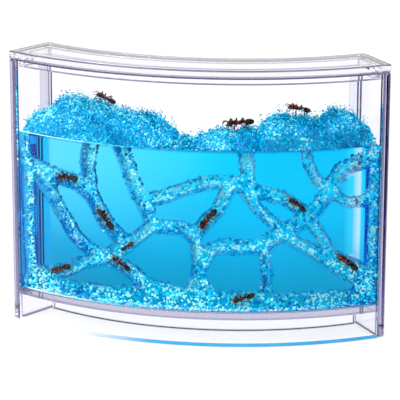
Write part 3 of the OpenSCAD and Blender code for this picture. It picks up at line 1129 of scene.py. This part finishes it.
def ant_shell(seed):
    """An ant that faces +X, in millimetres, its feet about 1.8 below its middle."""
    rng = np.random.default_rng(seed)
    shell = Shell()
    for *body, slot, sides in ANT_BODY:
        shell.turned(rounded(*body), slot, sides)
    for x, swell in ANT_PLATES:
        shell.turned([(x - 0.07, swell * 0.97, swell * 0.97, 0.12), (x, swell * 1.04, swell * 1.04, 0.12),
                      (x + 0.09, swell * 0.98, swell * 0.98, 0.12)], BLACK, 16)
    shell.turned(ANT_NECK, RED, 10)
    for side in (-1, 1):
        shell.turned(rounded(*ANT_EYE), BLACK, 8, side * EYE_OUT)
        jaw = [(2.9, side * 0.45, -0.3), (3.4, side * 0.5, -0.45), (3.8, side * 0.12, -0.5)]
        shell.limb(jaw, (0.24, 0.19, 0.06), RED)
        spread, rise = rng.uniform(0.75, 1.25), rng.uniform(0.4, 1.0)
        feeler = [(2.75, side * 0.32, 0.45), (3.35, side * 0.75 * spread, 0.9 * rise),
                  (3.9, side * 1.15 * spread, 1.0 * rise), (4.35, side * 1.2 * spread, 0.5 * rise),
                  (4.8, side * 1.0 * spread, -0.15)]
        shell.limb(feeler, (0.15, 0.14, 0.15, 0.14, 0.1), RED)
        for hip, reach in ANT_LEGS:
            foot_x = reach + rng.uniform(-0.45, 0.45)
            run = foot_x - hip
            leg = [(hip, side * 0.35, -0.05), (hip + run * 0.12, side * 0.6, 0.1),
                   (hip + run * 0.3, side * 0.95, 0.8), (hip + run * 0.45, side * 1.25, 1.25),
                   (hip + run * 0.65, side * 1.5, 0.2), (hip + run * 0.85, side * 1.75, -0.8),
                   (foot_x, side * 1.9, -1.7), (foot_x * 1.04 + 0.05, side * 2.0, -1.85)]
            shell.limb(leg, LEG_RADII, BLACK)
    return shell


def turn_about(axis, angle):
    return Matrix.Rotation(angle, 4, axis)


def make_ant(number, x, height, heading, size, reach):
    """One ant in the upright arc at this reach, heading up or down in it with its feet below."""
    shell = ant_shell(100 + number)
    left = math.cos(math.radians(heading)) < 0
    dip = math.radians(180 - heading if left else -heading)
    stand = (Matrix.Translation((0, ARC_Y, height * MM)) @ turn_about("Z", math.asin(x * MM / reach))
             @ Matrix.Translation((0, -reach, 0)) @ turn_about("Y", dip)
             @ turn_about("Z", math.pi if left else 0))
    points = [stand @ (Vector(p) * MM * ANT_SCALE * size) for p in shell.points]
    ant = new_object(f"ant_{number:02d}_figure", points, shell.faces, [ant_red, ant_black], shell.slots)
    outward(ant, merge=False)
    shade(ant, 60)
    place(ant, "tank", "ant", f"ant_{number:02d}")


# on the heaps, as in the frame: x, foot height, heading in degrees up from +X, size
HEAP_ANTS = ((-45, 118.6, 159, 1), (21.2, 109.1, 184, 1.25), (49.5, 116.4, 164, 1.05))
# in the tunnels: x, z, heading, size
TUNNEL_ANTS = ((-64.6, 78.7, 180, 1.1), (-44.1, 61.2, 130, 1.15), (-31.1, 47.9, 36, 0.75),
               (-36.2, 38.6, 148, 1), (-68.6, 29.8, 203, 1.1), (7.7, 63.2, 230, 1.15),
               (50.3, 71.9, 139, 1), (74.5, 40.4, 142, 1.2), (24.9, 23.3, 197, 1.05))
for number, (x, feet, heading, size) in enumerate(HEAP_ANTS, 1):
    make_ant(number, x, feet + ANT_STANDS * ANT_SCALE * size, heading, size, MIDDLE_RADIUS)
for number, (x, z, heading, size) in enumerate(TUNNEL_ANTS, len(HEAP_ANTS) + 1):
    make_ant(number, x, z, heading, size, INNER_FRONT - ANT_INSET)

# -------------------------------- floor, lamps, world and camera

STAGE_HALF = 6
STAGE_DROP = 0.05 * MM
LAMP_SIZE = 0.7


def looked_at(tree):
    """Two masks of the light path: rays seen through clear pieces, and those and the camera's own."""
    path = tree.nodes.new("ShaderNodeLightPath")
    clear = calculated(tree, "MAXIMUM", path.outputs["Is Glossy Ray"], path.outputs["Is Transmission Ray"])
    no_diffuse = calculated(tree, "LESS_THAN", path.outputs["Diffuse Depth"], 0.5)
    through = calculated(tree, "MULTIPLY", clear, no_diffuse)
    return through, calculated(tree, "MAXIMUM", through, path.outputs["Is Camera Ray"])


def floor_material():
    """A pale floor that the camera, and clear pieces, see as near white; it keeps the shadow."""
    mat, tree, out, paint = material("pale_floor", Base_Color=(0.9, 0.9, 0.9, 1), Roughness=0.8)
    white = tree.nodes.new("ShaderNodeEmission")
    seen = looked_at(tree)[1]
    show(tree, out, mixed_shader(tree, ranged(tree, seen, 0, 0.7), paint, white))
    return mat


def make_stage_floor():
    corners = [(x * STAGE_HALF, y * STAGE_HALF, 0) for x, y in ((-1, -1), (1, -1), (1, 1), (-1, 1))]
    ground = new_object("stage_floor", corners, [(0, 1, 2, 3)], [floor_material()])
    ground.location.z = -STAGE_DROP


def soft_lamp(name, place_at, power):
    lamp = bpy.data.lights.new(name, "AREA")
    lamp.shape = "SQUARE"
    lamp.size = LAMP_SIZE
    lamp.energy = power
    obj = linked(name, lamp)
    obj.location = place_at
    middle = Vector((0, 0, LID_TOP / 2))
    obj.rotation_euler = (middle - Vector(place_at)).to_track_quat("-Z", "Y").to_euler()


def studio_world():
    """Soft plain light, and a white backdrop for the camera and for clear pieces, darker overhead."""
    world = bpy.data.worlds.new("studio")
    world.use_nodes = True
    tree = world.node_tree
    tree.nodes.clear()
    out = tree.nodes.new("ShaderNodeOutputWorld")
    through, seen = looked_at(tree)
    up = parted(tree, tree.nodes.new("ShaderNodeTexCoord").outputs["Generated"])["Z"]
    sky = ramp_of(tree, up, ((0.42, (1, 1, 1)), (0.65, (0.2, 0.2, 0.28))))
    light = add(tree, "ShaderNodeBackground", Color=(1.0, 1.0, 1.02, 1))
    backdrop = add(tree, "ShaderNodeBackground", Color=mixed(tree, through, (1, 1, 1), sky))
    show(tree, out, mixed_shader(tree, seen, light, backdrop))
    bpy.context.scene.world = world


make_stage_floor()
soft_lamp("key_lamp", (-0.7, -0.9, 1.1), 12.5)
soft_lamp("back_lamp", (0.5, 0.9, 0.9), 7)
studio_world()

CAMERA_AT = (0.1614, -1.0720, 0.3842)
CAMERA_TURN = math.radians(8.48)
CAMERA_DIP = math.radians(16.27)
CAMERA_ROLL = math.radians(0.17)
LENS = 204.2
SENSOR_WIDTH = 36
BOUNCES = 24

camera_data = bpy.data.cameras.new("camera")
camera_data.lens = LENS
camera_data.sensor_width = SENSOR_WIDTH
camera_data.clip_start = 0.01
camera = linked("camera", camera_data)
camera.matrix_world = (Matrix.Translation(CAMERA_AT) @ turn_about("Z", CAMERA_TURN)
                       @ turn_about("X", math.pi / 2 - CAMERA_DIP) @ turn_about("Z", CAMERA_ROLL))
bpy.context.scene.camera = camera
bpy.context.scene.view_settings.view_transform = "Standard"
cycles = bpy.context.scene.cycles
cycles.max_bounces = BOUNCES
cycles.transmission_bounces = BOUNCES
cycles.glossy_bounces = 8
cycles.transparent_max_bounces = BOUNCES
cycles.caustics_refractive = True
cycles.caustics_reflective = True
